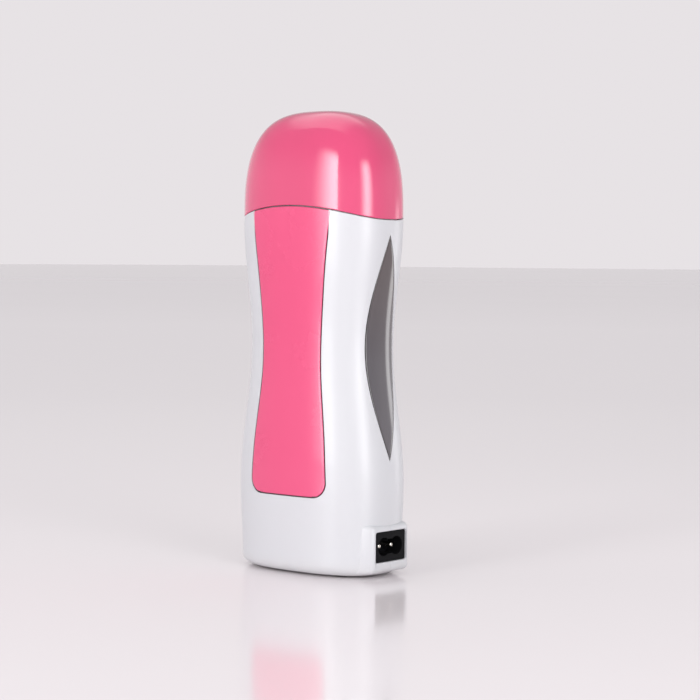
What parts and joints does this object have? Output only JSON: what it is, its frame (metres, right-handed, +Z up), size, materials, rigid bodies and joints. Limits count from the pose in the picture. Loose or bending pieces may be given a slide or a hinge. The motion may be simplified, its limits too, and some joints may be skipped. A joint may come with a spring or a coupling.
{
  "type": "roll-on wax heater",
  "caption": "Handheld electric heater for a roll-on wax cartridge: waisted oval housing with an inlaid front panel, smoked side windows, a lift-off domed cap and a low mains inlet.",
  "frame": {"origin": "on the table, under the middle of the housing's footprint", "axes": "+Z up along the housing, X across the wide front with +X towards the narrow side that has the mains inlet, the front panel faces -Y"},
  "size_m": [0.0827, 0.0498, 0.209],
  "materials": {
    "white_housing": "glossy moulded white",
    "pink_plastic": "glossy moulded pink",
    "smoked_window": "glossy smoked lens",
    "black_plastic": "satin black",
    "liner_plastic": "matt heat-resistant off-white",
    "aluminium": "drawn aluminium",
    "plated_steel": "zinc plated",
    "nickel": "nickel plated",
    "ceramic": "fired ceramic",
    "film": "amber insulating film",
    "sleeve": "woven glass sleeve",
    "lead_brown": "brown lead insulation",
    "lead_blue": "blue lead insulation",
    "lead_white": "white lead insulation",
    "rubber": "soft black rubber"
  },
  "bodies": {
    "body": {"front_shell": "white_housing", "back_shell": "white_housing", "front_panel": "pink_plastic", "window_left": "smoked_window", "window_right": "smoked_window", "cartridge_well": "liner_plastic", "heater_cup": "aluminium", "ptc_chip": "ceramic", "electrode_plates": "aluminium", "insulation_film": "film", "heater_clamp": "plated_steel", "fuse_clip": "plated_steel", "clamp_screws": "plated_steel", "shell_screws": "plated_steel", "thermal_fuse": "nickel", "fuse_sleeve": "sleeve", "lead_splices": "nickel", "inlet_socket": "black_plastic", "inlet_pins": "nickel", "lead_terminals": "nickel", "live_lead": "lead_brown", "neutral_lead": "lead_blue", "fuse_link_lead": "lead_white", "rubber_feet": "rubber"},
    "cap": {"cap": "pink_plastic"}
  },
  "joints": [
    {"name": "cap_lift", "type": "slide", "parent": "body", "child": "cap", "axis": [0, 0, 1], "range_m": [0, 0.06]}
  ]
}
